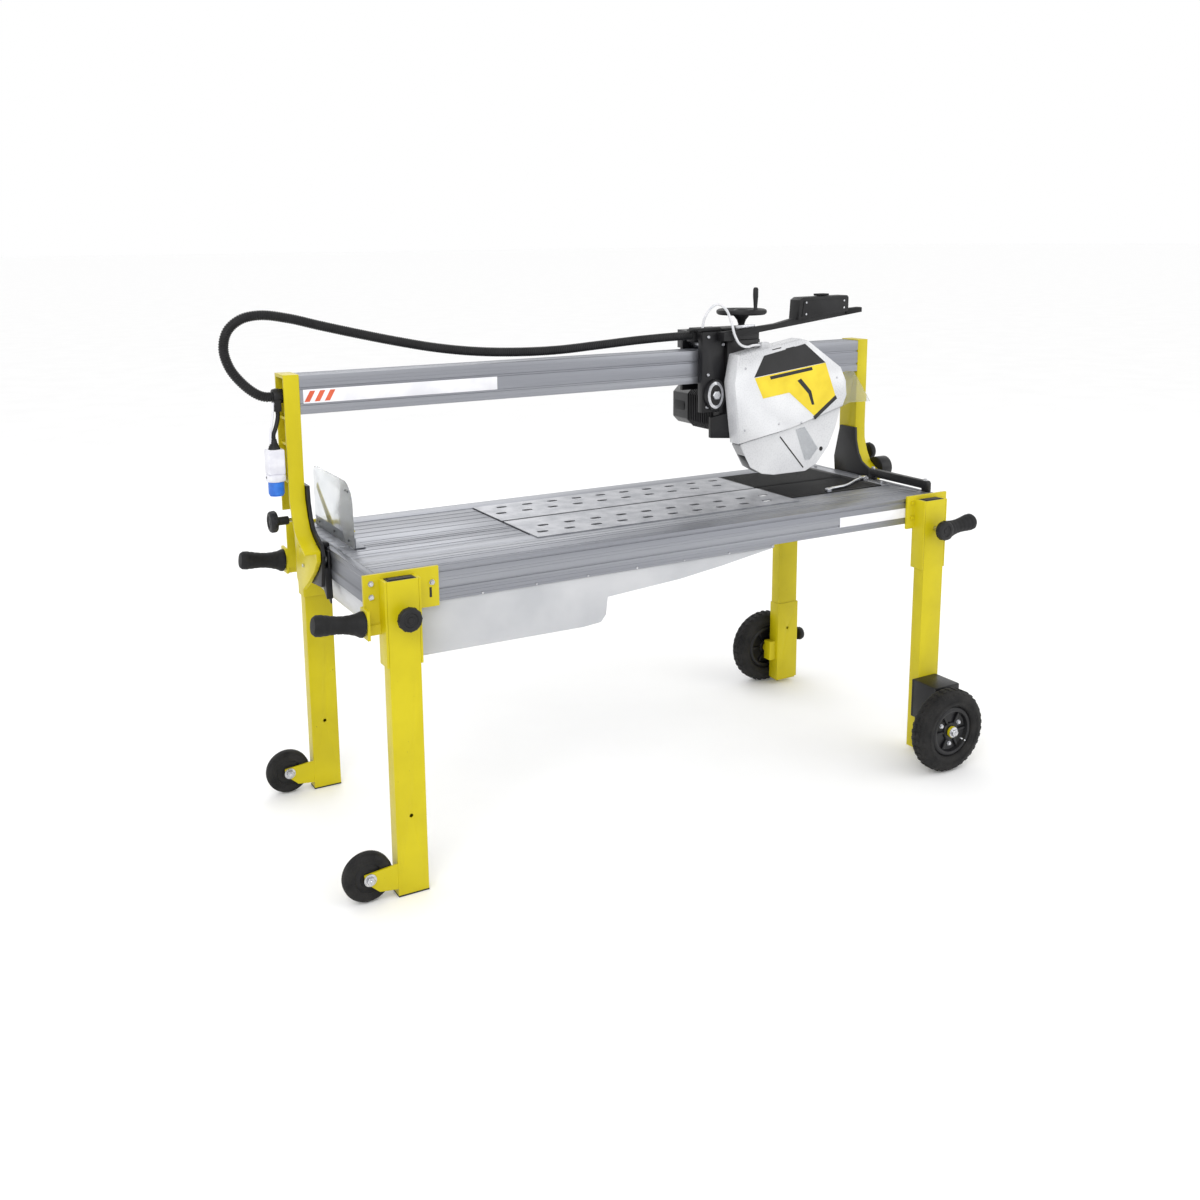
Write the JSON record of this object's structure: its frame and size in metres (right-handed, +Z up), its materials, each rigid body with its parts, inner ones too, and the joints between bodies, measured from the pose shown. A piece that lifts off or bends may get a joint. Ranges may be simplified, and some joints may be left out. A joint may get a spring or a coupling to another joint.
{
  "type": "tile cutter",
  "caption": "Wet tile cutter: slotted table on four height-adjustable legs, two with wheels, and a tilting rail that carries a sliding, plunging head with a guarded blade.",
  "frame": {"origin": "middle of the machine's footprint at floor level, its cables left out", "axes": "+X along the table towards the big-wheel end, +Y towards the rail side (back), +Z up"},
  "size_m": [2.1595, 0.956, 1.432],
  "materials": {
    "extrusion": "satin anodised extrusion",
    "zinc_plate": "zinc plated sheet with punched holes",
    "pad_rubber": "ribbed black support pad",
    "black_metal": "black semi-gloss paint",
    "motor_casting": "black painted casting",
    "tray_plastic": "milky translucent moulded plastic",
    "clear_panel": "clear sheet",
    "yellow_paint": "yellow powder coat",
    "grip_rubber": "soft black grip",
    "black_plastic": "moulded black plastic",
    "tyre_rubber": "treaded black tyre",
    "guard_white": "white moulded guard with a plain printed decal",
    "blade_steel": "ground steel",
    "cable_black": "black sheath",
    "hose_plastic": "milky white hose",
    "plug_plastic": "white housing and blue pin shroud"
  },
  "bodies": {
    "table": {"front_rail": "extrusion", "rear_rail": "extrusion", "left_cross_member": "extrusion", "right_cross_member": "extrusion", "inner_slat": "extrusion", "left_deck": "extrusion", "front_deck_plate": "zinc_plate", "rear_deck_plate": "zinc_plate", "deck_pads": "pad_rubber", "end_plate": "extrusion", "fence_bar": "black_metal", "water_tray": "tray_plastic", "splash_panel": "clear_panel", "left_pivot_bracket": "black_metal", "right_pivot_bracket": "black_metal", "leg_bracket_near_left": "yellow_paint", "leg_bracket_far_left": "yellow_paint", "leg_bracket_near_right": "yellow_paint", "leg_bracket_far_right": "yellow_paint", "lift_grip_near_left": "grip_rubber", "lift_grip_far_left": "grip_rubber", "lift_grip_near_right": "grip_rubber", "lift_grip_far_right": "grip_rubber"},
    "leg_near_left": {"leg_near_left": "yellow_paint"},
    "leg_far_left": {"leg_far_left": "yellow_paint"},
    "leg_near_right": {"leg_near_right": "yellow_paint"},
    "leg_far_right": {"leg_far_right": "yellow_paint"},
    "leg_knob_near_left": {"leg_knob_near_left": "black_plastic"},
    "leg_knob_far_left": {"leg_knob_far_left": "black_plastic"},
    "leg_knob_near_right": {"leg_knob_near_right": "black_plastic"},
    "leg_knob_far_right": {"leg_knob_far_right": "black_plastic"},
    "foot_knob": {"foot_knob_far_right": "black_plastic"},
    "small_wheel_near": {"small_wheel_near": "black_plastic"},
    "small_wheel_far": {"small_wheel_far": "black_plastic"},
    "big_wheel_near": {"tyre_near": "tyre_rubber", "wheel_rim_near": "black_plastic"},
    "big_wheel_far": {"tyre_far": "tyre_rubber", "wheel_rim_far": "black_plastic"},
    "left_tilt_knob": {"left_tilt_knob": "black_plastic"},
    "right_tilt_knob": {"right_tilt_knob": "black_plastic"},
    "bridge": {"left_column": "yellow_paint", "right_column": "yellow_paint", "beam": "extrusion", "conduit_gland": "black_plastic", "conduit": "cable_black", "mains_lead": "cable_black", "mains_plug": "plug_plastic"},
    "carriage": {"carriage": "black_metal", "water_hose": "hose_plastic"},
    "roller_1": {"roller_1": "blade_steel"},
    "roller_2": {"roller_2": "blade_steel"},
    "handwheel": {"handwheel": "black_plastic"},
    "head": {"blade_guard": "guard_white", "drive_housing": "black_metal", "motor": "motor_casting", "operating_lever": "black_plastic"},
    "visor": {"lower_visor": "guard_white"},
    "blade": {"blade": "blade_steel", "arbor": "blade_steel"},
    "switch": {"power_switch": "black_plastic"}
  },
  "joints": [
    {"name": "leg_near_left_height", "type": "slide", "parent": "table", "child": "leg_near_left", "axis": [0, 0, 1], "range_m": [0, 0.25]},
    {"name": "leg_far_left_height", "type": "slide", "parent": "table", "child": "leg_far_left", "axis": [0, 0, 1], "range_m": [0, 0.25]},
    {"name": "leg_near_right_height", "type": "slide", "parent": "table", "child": "leg_near_right", "axis": [0, 0, 1], "range_m": [0, 0.25]},
    {"name": "leg_far_right_height", "type": "slide", "parent": "table", "child": "leg_far_right", "axis": [0, 0, 1], "range_m": [0, 0.25]},
    {"name": "leg_near_left_knob_turn", "type": "hinge", "parent": "table", "child": "leg_knob_near_left", "pos_m": [-0.8297, -0.357, 0.714], "axis": [0, 1, 0], "continuous": true},
    {"name": "leg_far_left_knob_turn", "type": "hinge", "parent": "table", "child": "leg_knob_far_left", "pos_m": [-0.8297, 0.455, 0.714], "axis": [0, 1, 0], "continuous": true},
    {"name": "leg_near_right_knob_turn", "type": "hinge", "parent": "table", "child": "leg_knob_near_right", "pos_m": [0.8693, -0.357, 0.714], "axis": [0, 1, 0], "continuous": true},
    {"name": "leg_far_right_knob_turn", "type": "hinge", "parent": "table", "child": "leg_knob_far_right", "pos_m": [0.8693, 0.455, 0.714], "axis": [0, 1, 0], "continuous": true},
    {"name": "foot_knob_turn", "type": "hinge", "parent": "leg_far_right", "child": "foot_knob", "pos_m": [0.9308, 0.395, 0.167], "axis": [1, 0, 0], "continuous": true},
    {"name": "small_wheel_near_spin", "type": "hinge", "parent": "leg_near_left", "child": "small_wheel_near", "pos_m": [-0.9402, -0.293, 0.065], "axis": [0, 1, 0], "continuous": true},
    {"name": "small_wheel_far_spin", "type": "hinge", "parent": "leg_far_left", "child": "small_wheel_far", "pos_m": [-0.9402, 0.399, 0.065], "axis": [0, 1, 0], "continuous": true},
    {"name": "big_wheel_near_spin", "type": "hinge", "parent": "leg_near_right", "child": "big_wheel_near", "pos_m": [0.8228, -0.448, 0.127], "axis": [0, 1, 0], "continuous": true},
    {"name": "big_wheel_far_spin", "type": "hinge", "parent": "leg_far_right", "child": "big_wheel_far", "pos_m": [0.8228, 0.448, 0.127], "axis": [0, 1, 0], "continuous": true},
    {"name": "left_tilt_knob_turn", "type": "hinge", "parent": "table", "child": "left_tilt_knob", "pos_m": [-0.9982, 0.171, 0.863], "axis": [1, 0, 0], "continuous": true},
    {"name": "right_tilt_knob_turn", "type": "hinge", "parent": "table", "child": "right_tilt_knob", "pos_m": [1.0378, 0.171, 0.863], "axis": [1, 0, 0], "continuous": true},
    {"name": "bridge_tilt", "type": "hinge", "parent": "table", "child": "bridge", "pos_m": [0.0198, 0.089, 0.804], "axis": [1, 0, 0], "range_deg": [0, 45]},
    {"name": "carriage_slide", "type": "slide", "parent": "bridge", "child": "carriage", "axis": [-1, 0, 0], "range_m": [0, 0.9], "deforming": ["conduit"]},
    {"name": "roller_1_spin", "type": "hinge", "parent": "carriage", "child": "roller_1", "pos_m": [0.3588, 0.189, 1.2573], "axis": [0, 1, 0], "range_deg": [-3690, 0]},
    {"name": "roller_2_spin", "type": "hinge", "parent": "carriage", "child": "roller_2", "pos_m": [0.5028, 0.189, 1.2573], "axis": [0, 1, 0], "range_deg": [-3690, 0]},
    {"name": "handwheel_turn", "type": "hinge", "parent": "carriage", "child": "handwheel", "pos_m": [0.4798, 0.147, 1.35], "axis": [0, 0, 1], "range_deg": [0, 2885]},
    {"name": "head_plunge", "type": "slide", "parent": "carriage", "child": "head", "axis": [0, 0, -1], "range_m": [0, 0.064], "deforming": ["water_hose"]},
    {"name": "visor_lift", "type": "slide", "parent": "head", "child": "visor", "axis": [0, 0, 1], "range_m": [0, 0.065]},
    {"name": "blade_spin", "type": "hinge", "parent": "head", "child": "blade", "pos_m": [0.6118, 0.089, 1.03], "axis": [0, 1, 0], "continuous": true},
    {"name": "switch_slide", "type": "slide", "parent": "head", "child": "switch", "axis": [1, 0, 0], "range_m": [0, 0.005]}
  ],
  "couplings": [
    {"joint": "roller_1_spin", "follows": "carriage_slide", "rad_per_m": -71.43},
    {"joint": "roller_2_spin", "follows": "carriage_slide", "rad_per_m": -71.43},
    {"joint": "handwheel_turn", "follows": "head_plunge", "rad_per_m": 785.4},
    {"joint": "visor_lift", "follows": "head_plunge", "ratio": 1}
  ]
}
